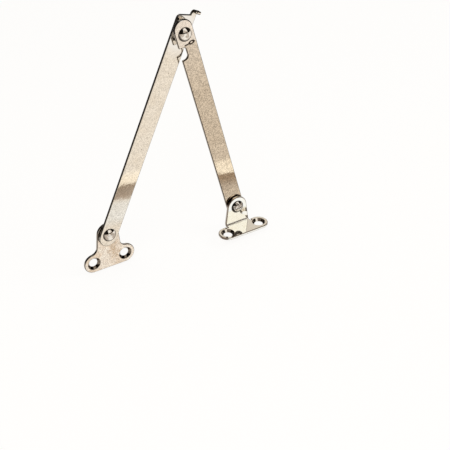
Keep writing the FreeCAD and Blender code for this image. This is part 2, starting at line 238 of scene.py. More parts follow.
@dataclass(frozen=True)
class Nickel:
    """Nickel plating over stamped steel: bright grainy faces, darker sides that are partly the sheared
    steel's own tone and partly painted shade, and painted shade in corners and on roundings.

    A turn is where a value starts and where it ends; a share is how strong it is at its end.
    """

    name: str
    face: Rgb = (0.80, 0.71, 0.59)
    cloud: Rgb = (0.72, 0.61, 0.47)
    pit: Rgb = (0.16, 0.11, 0.07)
    # The side colour is partly the sheared steel's own tone and partly painted shade; the rim and crevice
    # colours are painted shade.
    side: Rgb = (0.34, 0.30, 0.25)
    rim: Rgb = (0.03, 0.024, 0.02)
    crevice_shade: Rgb = (0.03, 0.022, 0.016)
    cloud_size: float = 10.0 * MM
    cloud_layers: Layers = (4.0, 0.6, 0.6)
    cloud_share: float = 0.45
    cloud_turn: Span = (0.42, 0.66)
    grain: float = 0.20
    grain_size: float = 0.5 * MM
    grain_layers: Layers = (2.0, 0.7)
    grain_turn: Span = (0.38, 0.62)
    pit_share: float = 0.7
    pit_spacing: float = 3.4 * MM
    pit_turn: Span = (0.11, 0.06)
    pits_kept: float = 0.26
    pit_edge: float = 0.01
    side_share: float = 0.85
    side_turn: Span = (0.82, 0.40)
    underside_shade: float = 0.0
    side_rough: float = 0.08
    side_ripple: float = 0.15
    rim_shade_share: float = 0.92
    rim_shade_turn: Span = (0.995, 0.93)
    wall_turn: Span = (0.10, 0.30)
    crevice_shade_share: float = 0.9
    crevice_shade_reach: float = 1.6 * MM
    crevice_shade_turn: Span = (0.62, 0.22)
    crevice_shade_rays: int = 8
    smooth: float = 0.045
    rough: float = 0.08
    patches: Clouds = (240.0, 3.0, 0.6)
    patch_turn: Span = (0.3, 0.75)
    ripple: float = 0.008 * MM
    lines: Clouds = (2600.0, 1.0)
    line_pull: float = -0.9
    line_height: float = 0.35
    grit: Clouds = (1300.0, 2.0, 0.6)
    grit_height: float = 0.65
    waves: Clouds = (480.0, 1.0)
    wave_height: float = 1.3
    run: Place = (1.0, 0.0, 0.0)
    flats: Flats = Flats.UPRIGHT

    def colour(self, n: Nodes, place: Socket) -> Socket:
        """The plating's own colour, with clouds, grain and small pits.

        Args:
            n: The material's nodes.
            place: Where on the piece.

        Returns:
            The colour.
        """
        clouds = n.mapped(n.noise(place, 1.0 / self.cloud_size, *self.cloud_layers), *self.cloud_turn)
        shade = n.blend(n.times(clouds, self.cloud_share), self.face, self.cloud)
        shade = self.grained(n, place, shade)
        spots = n.feed(n.add("TexVoronoi"), Vector=place, Scale=1.0 / self.pit_spacing)
        kept = n.feed(n.add("SeparateColor"), _0=spots.outputs["Color"]).outputs[0]
        least = 1.0 - self.pits_kept
        pits = n.times(n.mapped(spots.outputs["Distance"], *self.pit_turn),
                       n.mapped(kept, least, least + self.pit_edge))
        return n.blend(n.times(pits, self.pit_share), shade, self.pit)

    def grained(self, n: Nodes, place: Socket, shade: Socket | Rgb, share: float = 1.0) -> Socket:
        """Makes a colour finely uneven.

        Args:
            n: The material's nodes.
            place: Where on the piece.
            shade: The even colour.
            share: How much of the full grain it gets.

        Returns:
            The grained colour.
        """
        speckle = n.noise(place, 1.0 / self.grain_size, *self.grain_layers)
        grain = n.mapped(speckle, *self.grain_turn, 1.0 - self.grain * share, 1.0 + self.grain * share)
        return n.blend(1.0, shade, grain, "MULTIPLY")

    def gloss(self, n: Nodes, place: Socket, side: Socket) -> Socket:
        """The plating's roughness, in patches and higher on the sheared sides."""
        patchy = n.mapped(n.noise(place, *self.patches), *self.patch_turn, self.smooth, self.rough)
        return n.maths("ADD", patchy, n.times(side, self.side_rough))

    def relief(self, n: Nodes, place: Socket) -> Socket:
        """The fine height of the face: rolled lines along the piece, grit and waves.

        Args:
            n: The material's nodes.
            place: Where on the piece.

        Returns:
            The height, as a share of the ripple.
        """
        pull = n.times(n.reach(place, (0.0, 0.0, 0.0), self.run), self.line_pull)
        back = n.feed(n.add("VectorMath", operation="SCALE"), _0=self.run, Scale=pull).outputs[0]
        lines = n.times(n.noise(n.vector("ADD", place, back), *self.lines), self.line_height)
        grit = n.times(n.noise(place, *self.grit), self.grit_height)
        waves = n.times(n.noise(place, *self.waves), self.wave_height)
        return n.maths("ADD", n.maths("ADD", lines, grit), waves)

    def material(self) -> bpy.types.Material:
        """Builds the plating as a node material.

        Returns:
            The new material.
        """
        made, n = new_material(self.name)
        place = n.add("TexCoord").outputs["Object"]
        facing = n.feed(n.add("SeparateXYZ"), Vector=n.add("TexCoord").outputs["Normal"])
        flat: Socket | float = 0.0
        for axis in self.flats.value:
            flat = n.maths("MAXIMUM", n.maths("ABSOLUTE", facing.outputs[axis]), flat)
        # Painted shade: sides and roundings take the darker side colour, on sheared sides partly the
        # steel's own tone; the tilt by Z paints downward-facing sides darker, on the rivets.
        underside_shading = n.times(facing.outputs["Z"], self.underside_shade)
        side = n.mapped(n.maths("ADD", flat, underside_shading), *self.side_turn)
        shade = n.blend(n.times(side, self.side_share), self.colour(n, place), self.side)
        # Painted shade: a near-black line on the roundings next to the faces, and at the bracket's fold.
        rounding = n.times(n.mapped(flat, *self.rim_shade_turn), n.mapped(flat, *self.wall_turn))
        shade = n.blend(n.times(rounding, self.rim_shade_share), shade, self.rim)
        # Painted shade: ambient occlusion darkens the colour in corners, round rivet heads and under the
        # arms.
        open_sky = n.feed(n.add("AmbientOcclusion", samples=self.crevice_shade_rays), Distance=self.crevice_shade_reach)
        hidden = n.mapped(open_sky.outputs["AO"], *self.crevice_shade_turn)
        shade = n.blend(n.times(hidden, self.crevice_shade_share), shade, self.crevice_shade)
        bump = n.feed(n.add("Bump"), Height=self.relief(n, place), Distance=self.ripple,
                      Strength=n.mapped(side, 0.0, 1.0, 1.0, self.side_ripple))
        n.surface(n.feed(n.add("BsdfPrincipled"), Base_Color=shade, Metallic=1.0,
                         Roughness=self.gloss(n, place, side), Normal=bump.outputs[0]))
        return made


@dataclass(frozen=True)
class EvenNickel(Nickel):
    """Plating of one look whichever way it faces, for countersinks, roundings and other small forms."""

    side_share: float = 0.0
    rim_shade_share: float = 0.0
    flats: Flats = Flats.ALL


@dataclass(frozen=True)
class LitHeadNickel(Nickel):
    """The front arm's plating: painted light makes it pale round the centre rivet, down to a dark line
    across the arm.
    """

    # The head colour is painted light, on the arm's head down to the dark line.
    head: Rgb = (0.80, 0.70, 0.59)
    lit_head_share: float = 0.95
    head_grain: float = 0.6
    head_soft: float = 0.3 * MM
    fade_reach: Span = (34.0 * MM, 6.0 * MM)
    fade_share: float = 0.30
    pivot: Place = (0.0, 0.0, 0.0)
    down: Place = (0.0, 0.0, -1.0)
    outward: Place = (1.0, 0.0, 0.0)
    mark: Rgb = (0.03, 0.018, 0.012)
    mark_share: float = 0.97
    line_reach: float = 5.75 * MM
    line_turn: Span = (0.546 * MM, 0.252 * MM)
    line_start: Span = (-2.0 * MM, -1.8 * MM)
    line_end: Span = (1.2 * MM, 0.9 * MM)
    oval_place: Span = (2.2 * MM, 5.65 * MM)
    oval_size: Span = (0.90 * MM, 1.60 * MM)
    oval_ring: float = 0.85
    oval_turn: Span = (0.72, 0.58)

    def colour(self, n: Nodes, place: Socket) -> Socket:
        """The plating with its head painted pale as light, a dark line across the arm and a small dark oval
        ring.

        Args:
            n: The material's nodes.
            place: Where on the piece.

        Returns:
            The colour.
        """
        below = n.reach(place, self.pivot, self.down)
        across = n.reach(place, self.pivot, self.outward)
        # Painted light: this mask paints the head paler, down to the dark line.
        pale = n.mapped(below, self.line_reach + self.head_soft, self.line_reach - self.head_soft)
        fading = n.mapped(below, *self.fade_reach, 0.0, self.fade_share)
        shade = n.blend(n.maths("MAXIMUM", n.times(pale, self.lit_head_share), fading),
                        super().colour(n, place), self.grained(n, place, self.head, self.head_grain))
        off_line = n.maths("ABSOLUTE", n.maths("SUBTRACT", below, self.line_reach))
        ends = n.times(n.mapped(across, *self.line_start), n.mapped(across, *self.line_end))
        line = n.times(n.mapped(off_line, *self.line_turn), ends)
        tall = n.maths("DIVIDE", n.maths("SUBTRACT", below, self.oval_place[1]), self.oval_size[0])
        wide = n.maths("DIVIDE", n.maths("SUBTRACT", across, self.oval_place[0]), self.oval_size[1])
        round_it = n.maths("ADD", n.maths("POWER", tall, 2.0), n.maths("POWER", wide, 2.0))
        ring = n.mapped(n.maths("ABSOLUTE", n.maths("SUBTRACT", round_it, self.oval_ring)), *self.oval_turn)
        return n.blend(n.times(n.maths("MAXIMUM", line, ring), self.mark_share), shade, self.mark)


@dataclass(frozen=True)
class PivotLitNickel(Nickel):
    """The back arm's plating: painted light makes it paler round the centre rivet, so that the gap under
    the front arm, which it mirrors, reads light.
    """

    pivot: Place = (0.0, 0.0, 0.0)
    # These colours are painted light round the centre rivet.
    pale: Rgb = (0.87, 0.805, 0.72)
    lit_pale_reach: Span = (15.0 * MM, 9.0 * MM)
    lit_pale_share: float = 0.85
    lit_grey: Rgb = (0.865, 0.815, 0.75)
    lit_grey_reach: Span = (10.5 * MM, 8.5 * MM)
    lit_grey_share: float = 0.9

    def colour(self, n: Nodes, place: Socket) -> Socket:
        """The plating, painted paler towards the centre rivet and greyer beside it, as painted light.

        Args:
            n: The material's nodes.
            place: Where on the piece.

        Returns:
            The colour.
        """
        away = n.away(place, self.pivot)
        near = n.mapped(away, *self.lit_pale_reach, 0.0, self.lit_pale_share)
        beside = n.mapped(away, *self.lit_grey_reach, 0.0, self.lit_grey_share)
        return n.blend(beside, n.blend(near, super().colour(n, place), self.pale), self.lit_grey)


@dataclass(frozen=True)
class StainedNickel(Nickel):
    """The flat plate's plating, with a tan stain of fine specks beside its middle."""

    stain: Rgb = (0.42, 0.26, 0.12)
    stain_middle: Place = (0.0, 0.0, 0.0)
    stain_size: Place = (4.2 * MM, 20.0 * MM, 7.5 * MM)
    edge: Clouds = (350.0, 3.0, 0.7)
    edge_turn: Span = (0.3, 0.7)
    edge_shift: Span = (-0.5, 0.5)
    wash_turn: Span = (1.15, 0.3)
    wash_share: float = 0.22
    specks: Clouds = (900.0, 2.0, 0.6)
    speck_turn: Span = (0.55, 0.62)
    speck_reach: Span = (1.1, 0.7)
    speck_share: float = 0.7

    def colour(self, n: Nodes, place: Socket) -> Socket:
        """The plating with its stain.

        Args:
            n: The material's nodes.
            place: Where on the piece.

        Returns:
            The colour.
        """
        scaled = n.vector("DIVIDE", n.vector("SUBTRACT", place, self.stain_middle), self.stain_size)
        edge = n.mapped(n.noise(place, *self.edge), *self.edge_turn, *self.edge_shift)
        ragged = n.maths("ADD", n.away(scaled, (0.0, 0.0, 0.0)), edge)
        wash = n.times(n.mapped(ragged, *self.wash_turn), self.wash_share)
        specks = n.times(n.mapped(n.noise(place, *self.specks), *self.speck_turn),
                         n.mapped(ragged, *self.speck_reach))
        stained = n.maths("MAXIMUM", wash, n.times(specks, self.speck_share))
        return n.blend(stained, super().colour(n, place), self.stain)


def sink_plating(name: str, face: Rgb = (0.10, 0.075, 0.055), share: float = 0.5) -> EvenNickel:
    """The mottled plating of a countersink, painted dark as shade where no other colour is given."""
    return EvenNickel(name, face=face, cloud=(0.5, 0.42, 0.33), cloud_size=1.6 * MM, cloud_share=share)


# Painted shade: the dark ring round each rivet head's rim, deeper towards the bottom.
RIVET_PLATING = Nickel("nickel_rivet", face=(0.88, 0.82, 0.73), cloud=(0.34, 0.26, 0.19),
                       cloud_size=2.0 * MM, cloud_share=0.75, cloud_turn=(0.44, 0.56), grain=0.12,
                       pit_share=0.3, side=(0.05, 0.035, 0.025), side_turn=(0.86, 0.80), underside_shade=0.12,
                       side_share=0.95, rim_shade_share=0.0, smooth=0.04, rough=0.07, ripple=0.005 * MM)
# The bracket rivet: darker blotches, and a broader, darker ring of painted shade at the rim.
SHADED_RIVET_PLATING = replace(RIVET_PLATING, name="nickel_rivet_shaded", face=(0.93, 0.87, 0.78),
                            cloud=(0.16, 0.115, 0.08), cloud_share=0.85, cloud_turn=(0.44, 0.52),
                            side=(0.03, 0.022, 0.016), side_turn=(0.885, 0.835), underside_shade=0.13,
                            side_share=0.97)
WASHER_PLATING = Nickel("steel_washer", face=(0.55, 0.53, 0.50), cloud=(0.45, 0.42, 0.38),
                        cloud_size=4.0 * MM, rim_shade_share=0.0, smooth=0.22, rough=0.34)


def mirrored_only(name: str, mesh: bpy.types.Mesh, stand: Matrix, colour: Rgb | None = None) -> None:
    """Sets a mesh up as stage that only glossy surfaces show, glowing in its own colour.

    Args:
        name: The name of the new object and its material.
        mesh: Its mesh.
        stand: Its place.
        colour: Its colour, or None for the mesh's own tint.
    """
    made, n = new_material(name)
    shown = colour or n.add("Attribute", attribute_name="tint").outputs["Color"]
    n.surface(n.feed(n.add("Emission"), Color=shown))
    mesh.materials.append(made)
    card = linked(name, mesh)
    card.matrix_world = stand
    card.visible_camera = False
    card.visible_diffuse = False
    card.visible_shadow = False
    card.visible_transmission = False


@dataclass(frozen=True)
class Panel:
    """A flat studio card that only the metal mirrors."""

    name: str
    centre: Place
    facing: Place
    width: float
    height: float
    colour: Rgb

    @classmethod
    def hung(cls, name: str, azimuth: float, elevation: float, wide: float, tall: float, colour: Rgb,
             distance: float = 2.5, start: Place = (-0.035, 0.008, 0.06)) -> "Panel":
        """A card that stands off from the stay in one direction and covers an angle there.

        Args:
            name: The card's name.
            azimuth: Degrees from the front of the stay towards its right.
            elevation: Degrees above the level.
            wide: Degrees from side to side.
            tall: Degrees from bottom to top.
            colour: What it shows.
            distance: How far it stands off.
            start: Where the directions start.

        Returns:
            The card.
        """
        way = towards(azimuth, elevation)
        width, height = (2 * distance * math.tan(math.radians(angle / 2)) for angle in (wide, tall))
        return cls(name, tuple(Vector(start) + way * distance), tuple(-way), width, height, colour)

    def place(self) -> None:
        """Builds the card and marks it as stage."""
        mesh = bpy.data.meshes.new(self.name)
        w, h = self.width / 2, self.height / 2
        mesh.from_pydata([(-w, -h, 0), (w, -h, 0), (w, h, 0), (-w, h, 0)], [], [(0, 1, 2, 3)])
        stand = Vector(self.facing).to_track_quat("Z", "Y").to_matrix().to_4x4()
        mirrored_only(self.name, mesh, Matrix.Translation(self.centre) @ stand, self.colour)


@dataclass(frozen=True)
class FloorRibbon:
    """A glowing strip on the floor in front of the stay, which only the metal shows: painted reflections of
    bright and dark bands in the flat faces.

    Each row has its depth at the left and at the right, and its colour at the left and at the right.
    """

    name: str
    columns: Sequence[float]
    rows: Sequence[tuple[float, float, Rgb, Rgb]]

    def place(self, level: float) -> None:
        """Builds the ribbon and marks it as stage.

        Args:
            level: Its height.
        """
        left, right = self.columns[1], self.columns[-2]
        points: list[Place] = []
        tints: list[Rgb] = []
        for low, high, first, last in self.rows:
            for x in self.columns:
                share = (x - left) / (right - left)
                points.append((x, low + (high - low) * share, level))
                held = min(max(share, 0.0), 1.0)
                tints.append(tuple(a + (b - a) * held for a, b in zip(first, last)))
        across = len(self.columns)
        quads = [(r * across + c, r * across + c + 1, (r + 1) * across + c + 1, (r + 1) * across + c)
                 for r in range(len(self.rows) - 1) for c in range(across - 1)]
        mesh = bpy.data.meshes.new(self.name)
        mesh.from_pydata(points, [], quads)
        tint = mesh.color_attributes.new("tint", "FLOAT_COLOR", "POINT")
        for spot, colour in zip(tint.data, tints):
            spot.color = (*colour, 1.0)
        mirrored_only(self.name, mesh, Matrix.Identity(4))


@dataclass
class Studio:
    """Pale floor, white surroundings, soft lamps and the cards that the metal mirrors."""

    floor_level: float = -4.3 * MM
    floor_reach: float = 3.0
    floor_paper: Rgb = (0.86, 0.86, 0.85)
    floor_glow: Rgb = (1.0, 0.99, 0.975)
    glow_share: float = 0.9
    paper_lift: float = 0.4 * MM
    fill_level: float = 0.8
    surroundings: Rgb = (1.0, 0.985, 0.96)
    aim: Place = (-0.035, 0.005, 0.06)
    lamps: Sequence[tuple[str, Place, float, float]] = (
        ("soft_lamp_left", (-0.45, -0.45, 0.75), 0.5, 3.0),
        ("soft_lamp_right", (0.6, -0.35, 0.6), 0.5, 2.0),
    )

    def world(self) -> None:
        """White surroundings for the camera and the metal, a plain level for the light."""
        world = bpy.data.worlds.new("studio_world")
        bpy.context.scene.world = world
        world.use_nodes = True
        n = Nodes(world.node_tree)
        plain = n.feed(n.add("Background"), Color=(1.0, 1.0, 1.0), Strength=self.fill_level)
        white = n.feed(n.add("Background"), Color=self.surroundings)
        both = n.feed(n.add("MixShader"), _0=n.seen_or_mirrored(), _1=plain.outputs[0], _2=white.outputs[0])
        n.feed(n.add("OutputWorld"), Surface=both.outputs[0])

    def floor(self) -> None:
        """A wide pale sheet that keeps a faint shadow."""
        mesh = bpy.data.meshes.new("floor")
        r, z = self.floor_reach, self.floor_level
        mesh.from_pydata([(-r, -r, z), (r, -r, z), (r, r, z), (-r, r, z)], [], [(0, 1, 2, 3)])
        made, n = new_material("floor_paper")
        sheet = n.feed(n.add("BsdfDiffuse"), Color=self.floor_paper)
        glow = n.feed(n.add("Emission"), Color=self.floor_glow)
        n.surface(n.feed(n.add("MixShader"), _0=n.times(n.seen_or_mirrored(), self.glow_share),
                         _1=sheet.outputs[0], _2=glow.outputs[0]))
        mesh.materials.append(made)
        linked("floor", mesh)

    def light(self) -> None:
        """Soft area lamps that aim at the middle of the stay and leave no spots in the metal."""
        for name, place, size, power in self.lamps:
            data = bpy.data.lights.new(name, "AREA")
            data.shape = "SQUARE"
            data.size = size
            data.energy = power
            lamp = linked(name, data)
            lamp.location = place
            lamp.rotation_euler = (Vector(self.aim) - Vector(place)).to_track_quat("-Z", "Y").to_euler()
            lamp.visible_glossy = False

    def cards(self) -> None:
        """Dark and grey cards round the stay, and dark paper on the floor behind it."""
        black, soot = (0.015, 0.013, 0.011), (0.03, 0.027, 0.023)
        paper_level = self.floor_level + self.paper_lift
        for card in (
            Panel.hung("card_front_left", -30.0, 20.0, 50.0, 54.0, black),
            Panel.hung("card_front_right", 62.0, 22.0, 42.0, 52.0, black),
            Panel.hung("card_horizon", 16.0, 2.5, 44.0, 11.0, (0.03, 0.02, 0.015)),
            Panel.hung("card_back_left", -137.0, 20.0, 75.0, 70.0, soot, 0.65),
            Panel.hung("card_over_head", 144.0, 20.0, 42.0, 48.0, black, 0.045, (-0.030, 0.009, 0.127)),
            Panel("paper_back_left", (-0.42, 0.30, paper_level), (0.0, 0.0, 1.0), 0.56, 0.56, soot),
            Panel.hung("card_back_right", 128.0, -1.0, 52.0, 30.0, (0.42, 0.37, 0.32), 0.65),
            Panel.hung("card_back_grey", 148.0, 36.0, 44.0, 17.0, (0.66, 0.60, 0.53), 1.5),
        ):
            card.place()

    def ribbon(self) -> None:
        """The glowing ribbon on the floor, whose bands the arms mirror near their feet as painted
        reflections.
        """
        plain, pale_blue = (0.97, 0.96, 0.945), (1.00, 1.06, 1.13)
        # Rows brighter than white paint a highlight band; the brown rows paint a dark band.
        bright_left, bright_right = (1.10, 1.05, 0.95), (1.55, 1.60, 1.58)
        FloorRibbon("ribbon_bands", (-95 * MM, -35 * MM, 28 * MM, 110 * MM), (
            (-73.8 * MM, -61.8 * MM, plain, plain),
            (-70.0 * MM, -58.6 * MM, bright_left, bright_right),
            (-60.4 * MM, -44.8 * MM, bright_left, bright_right),
            (-60.2 * MM, -44.6 * MM, (0.33, 0.26, 0.20), (0.50, 0.41, 0.33)),
            (-54.5 * MM, -38.5 * MM, (0.44, 0.38, 0.33), (0.58, 0.50, 0.43)),
            (-46.2 * MM, -29.0 * MM, (0.50, 0.43, 0.38), (0.86, 0.84, 0.83)),
            (-44.2 * MM, -24.0 * MM, plain, plain),
            (-40.0 * MM, -20.0 * MM, pale_blue, plain),
            (-24.0 * MM, -6.0 * MM, pale_blue, plain),
            (-16.0 * MM, 0.0 * MM, plain, plain),
        )).place(self.floor_level + self.paper_lift)

    def build(self) -> None:
        """Builds the whole studio."""
        for part in (self.world, self.floor, self.light, self.cards, self.ribbon):
            part()
        log.info("studio: floor, lamps and cards")


@dataclass
class Viewpoint:
    """The camera, where the photograph was taken from."""

    azimuth: float = -32.269
    elevation: float = 34.550
    roll: float = 0.168
    distance: float = 0.521890
    lens: float = 80.406
    sensor: float = 36.0
    clip: Span = (0.01, 20.0)
    target: Place = (-0.027510, -0.024265, 0.027180)

    def build(self) -> None:
        """Makes the camera and gives it to the scene."""
        turn, tilt = math.radians(self.azimuth), math.radians(self.roll)
        back = towards(self.azimuth, self.elevation)
        right = Vector((math.cos(turn), math.sin(turn), 0.0))
        up = back.cross(right)
        side = right * math.cos(tilt) - up * math.sin(tilt)
        top = right * math.sin(tilt) + up * math.cos(tilt)
        data = bpy.data.cameras.new("photo_camera")
        data.sensor_width = self.sensor
        data.lens = self.lens
        data.clip_start, data.clip_end = self.clip
        camera = linked("photo_camera", data)
        axes = Matrix((side, top, back)).transposed().to_4x4()
        camera.matrix_world = Matrix.Translation(Vector(self.target) + back * self.distance) @ axes
        bpy.context.scene.camera = camera
        log.info("camera at %.0f, %.0f degrees", self.azimuth, self.elevation)


def finished(name: str, mesh: bpy.types.Mesh, node: str, body: str, slot: str) -> None:
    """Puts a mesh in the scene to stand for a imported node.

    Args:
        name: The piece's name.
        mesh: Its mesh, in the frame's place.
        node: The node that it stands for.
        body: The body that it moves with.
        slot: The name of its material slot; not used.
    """
    piece = linked(name, mesh)
    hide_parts(node)
    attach(piece, body)
    log.info("%s stands for %s: %d faces", name, node, len(mesh.polygons))


@dataclass
class Sheet:
    """A piece stamped from sheet metal, its sheared edges rounded by tumbling."""

    name: str
    node: str
    body: str
    slot: str
    bores: Sequence[tuple[Vector, float]]
    edge_round: float = 0.45 * MM
    bore_share: float = 0.2
    edge_steps: int = 3
    sharp_from: float = 35.0
    flat_within: float = 0.8
    flat_pull: int = 95

    def weight(self, edge: bmesh.types.BMEdge) -> float:
        """How much of the full rounding an edge gets.

        Args:
            edge: The edge.

        Returns:
            1 for all of it, less in a bore, and 0 where the edge is not sharp.
        """
        if len(edge.link_faces) != 2 or edge.calc_face_angle() < math.radians(self.sharp_from):
            return 0.0
        middle = (edge.verts[0].co + edge.verts[1].co) / 2
        in_bore = any((middle - centre).length < reach for centre, reach in self.bores)
        return self.bore_share if in_bore else 1.0

    def flattened(self) -> bpy.types.Mesh:
        """The node's own shape with flat faces taken as one and each edge's rounding set.

        Returns:
            The new mesh.
        """
        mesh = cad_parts[self.node].data.copy()
        mesh.name = self.name
        mesh.materials.clear()
        work = bmesh.new()
        work.from_mesh(mesh)
        bmesh.ops.remove_doubles(work, verts=work.verts, dist=WELD)
        bmesh.ops.dissolve_limit(work, angle_limit=math.radians(self.flat_within), verts=work.verts,
                                 edges=work.edges)
        for face in work.faces:
            face.smooth = True
            face.material_index = 0
        weights = work.edges.layers.float.new("bevel_weight_edge")
        for edge in work.edges:
            edge[weights] = self.weight(edge)
        work.to_mesh(mesh)
        work.free()
        return mesh

    def rounded(self, mesh: bpy.types.Mesh) -> bpy.types.Mesh:
        """Rounds the edges, with the second material on the roundings.

        Args:
            mesh: The sheet with sharp edges and its materials.

        Returns:
            The rounded mesh.
        """
        raw = linked(self.name + "_raw", mesh)
        bevel = raw.modifiers.new("rounded_edges", "BEVEL")
        bevel.width = self.edge_round
        bevel.segments = self.edge_steps
        bevel.limit_method = "WEIGHT"
        bevel.use_clamp_overlap = False
        bevel.material = 1
        evened = raw.modifiers.new("even_faces", "WEIGHTED_NORMAL")
        evened.mode = "FACE_AREA"
        evened.weight = self.flat_pull
        graph = bpy.context.evaluated_depsgraph_get()
        done = bpy.data.meshes.new_from_object(raw.evaluated_get(graph), preserve_all_data_layers=True,
                                               depsgraph=graph)
        done.name = self.name
        bpy.data.objects.remove(raw)
        return done

    def build(self, finishes: Sequence[Nickel], choose: Callable[[Vector, Vector, bool], int]) -> None:
        """Builds the sheet and dresses it.

        Args:
            finishes: The piece's finishes.
            choose: Tells which of them a face has, from its middle, its way and whether it is a rounding.
        """
        mesh = self.flattened()
        for finish in finishes:
            mesh.materials.append(finish.material())
        mesh = self.rounded(mesh)
        for face in mesh.polygons:
            face.material_index = choose(face.center, face.normal, face.material_index == 1)
        finished(self.name, mesh, self.node, self.body, self.slot)


def turned(name: str, profile: Sequence[Span], centre: Place, rounds: int = 72,
           sharp_from: float = 38.0) -> bpy.types.Mesh:
    """A mesh turned about an axle that runs from the front to the back.

    Args:
        name: The mesh's name.
        profile: Radius and depth of each ring, from the front to the back.
        centre: Where the axle passes depth 0.
        rounds: Corners of each ring.
        sharp_from: Degrees from which an edge stays sharp.

    Returns:
        The closed mesh.
    """
    points: list[Vector] = []
    rings: list[list[int]] = []
    for radius, depth in profile:
        corners = 1 if radius == 0 else rounds
        rings.append(list(range(len(points), len(points) + corners)))
        for step in range(corners):
            turn = 2 * math.pi * step / rounds
            spot = Vector((radius * math.cos(turn), depth, radius * math.sin(turn)))
            points.append(Vector(centre) + spot)
    faces: list[tuple[int, ...]] = []
    for near, far in zip(rings, rings[1:]):
        for step in range(rounds):
            after = (step + 1) % rounds
            if len(near) == 1:
                faces.append((near[0], far[after], far[step]))
            elif len(far) == 1:
                faces.append((near[step], near[after], far[0]))
            else:
                faces.append((near[step], near[after], far[after], far[step]))
    mesh = bpy.data.meshes.new(name)
    mesh.from_pydata([tuple(point) for point in points], [], faces)
    work = bmesh.new()
    work.from_mesh(mesh)
    bmesh.ops.remove_doubles(work, verts=work.verts, dist=WELD)
    bmesh.ops.recalc_face_normals(work, faces=work.faces)
    for face in work.faces:
        face.smooth = True
    work.to_mesh(mesh)
    work.free()
    mesh.set_sharp_from_angle(angle=math.radians(sharp_from))
    return mesh


@dataclass
class Rivet:
    """A domed rivet with a small undercut below its rim, and a tail that is flush or closed."""

    name: str
    node: str
    body: str
    axle: Vector
    grip: float
    tail: Tail
    finish: Nickel = RIVET_PLATING
    head_width: float = 7.4 * MM
    head_rise: float = 1.7 * MM
    head_rim: float = 0.4 * MM
    rim_round: float = 0.16 * MM
    rim_lift: float = 0.032 * MM
    rim_shoulder: Span = (0.04 * MM, 0.35 * MM)
    rim_top: float = 0.26 * MM
    rim_foot: Span = (0.02 * MM, 0.12 * MM)
    undercut: float = 0.30 * MM
    shank_width: float = 4.0 * MM
    flush_depth: float = 0.8 * MM
    flush_ring: Span = (0.35 * MM, 0.10 * MM)
    flush_hollow: float = 0.04 * MM
    tail_width: float = 6.4 * MM
    tail_rise: float = 0.9 * MM

    def dome(self, width: float, rise: float, steps: int = 14) -> list[Span]:
        """Rings of a round cap, from its top down to its foot.

        Args:
            width: Width of the cap at its foot.
            rise: Height of the cap.
            steps: Rings from top to foot.

        Returns:
            Radius and height over the foot of each ring.
        """
        half = width / 2
        bow = (rise * rise + half * half) / (2 * rise)
        slope = math.asin(half / bow)
        return [(bow * math.sin(slope * k / steps), rise - bow * (1 - math.cos(slope * k / steps)))
                for k in range(steps + 1)]

    def profile(self) -> list[Span]:
        """The rivet's outline.

        Returns:
            Radius and depth of every ring, from the head's top to the tail's end.
        """
        half, shank, foot = self.head_width / 2, self.shank_width / 2, self.head_rim + self.rim_lift
        cap = self.dome(self.head_width - 2 * self.rim_round, self.head_rise - foot)
        rings = [(radius, -(height + foot)) for radius, height in cap]
        rings += [(half - self.rim_shoulder[0], -self.rim_shoulder[1]), (half, -self.rim_top),
                  (half - self.rim_foot[0], -self.rim_foot[1]), (half - self.undercut, 0.0), (shank, 0.0)]
        if self.tail is Tail.CLOSED:
            cap = self.dome(self.tail_width, self.tail_rise)
            rings.append((shank, self.grip))
            return rings + [(radius, self.grip + rise) for radius, rise in reversed(cap)]
        hollow = self.grip - self.flush_hollow
        return rings + [(shank, self.grip - self.flush_depth), (shank + self.flush_depth, self.grip),
                        (shank + self.flush_ring[0], self.grip - self.flush_ring[1]),
                        (shank / 2, hollow), (0.0, hollow)]

    def build(self) -> None:
        """Turns the rivet and dresses it."""
        mesh = turned(self.name, self.profile(), self.axle)
        mesh.materials.append(self.finish.material())
        finished(self.name, mesh, self.node, self.body, "nickel_rivet")


@dataclass
class Washer:
    """A flat ring with rounded edges between two pieces that turn on each other."""

    name: str
    node: str
    body: str
    finish: Nickel = WASHER_PLATING
    edge_round: float = 0.12 * MM
    edge_share: float = 0.3

    def build(self) -> None:
        """Turns the washer to the node's own width, bore and thickness, and dresses it."""
        low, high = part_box(self.node)
        middle = (low + high) / 2
        outer, thick, edge = (high.x - low.x) / 2, high.y - low.y, self.edge_round
        bore = min(math.hypot(v.co.x - middle.x, v.co.z - middle.z)
                   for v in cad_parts[self.node].data.vertices)
        near = edge * self.edge_share
        rings = [(bore, thick), (bore, 0.0), (outer - edge, 0.0), (outer - near, near), (outer, edge),
                 (outer, thick - edge), (outer - near, thick - near), (outer - edge, thick), (bore, thick)]
        mesh = turned(self.name, rings, (middle.x, low.y, middle.z))
        mesh.materials.append(self.finish.material())
        finished(self.name, mesh, self.node, self.body, "steel_washer")


@dataclass
class Stay:
    """Where the stay's axles and faces are, which the sub-assemblies share."""

    span: float = 114.0 * MM
    front_lean: float = 74.9
    back_lean: float = 65.6
    bracket_axle: Place = (0.0, 6.3 * MM, 11.8 * MM)
    centre_face: float = 8.3 * MM
    plate_face: float = 11.8 * MM

    def down_front(self) -> Vector:
        """The way down the front arm."""
        a = math.radians(self.front_lean)
        return Vector((math.cos(a), 0.0, -math.sin(a)))

    def down_back(self) -> Vector:
        """The way down the back arm."""
        a = math.radians(self.back_lean)
        return Vector((-math.cos(a), 0.0, -math.sin(a)))

    def centre_axle(self) -> Vector:
        """Where the centre rivet's head sits on the front arm."""
        place = Vector(self.bracket_axle) - self.down_front() * self.span
        return Vector((place.x, self.centre_face, place.z))

    def plate_axle(self) -> Vector:
        """Where the plate rivet's head sits on the back arm."""
        place = self.centre_axle() + self.down_back() * self.span
        return Vector((place.x, self.plate_face, place.z))


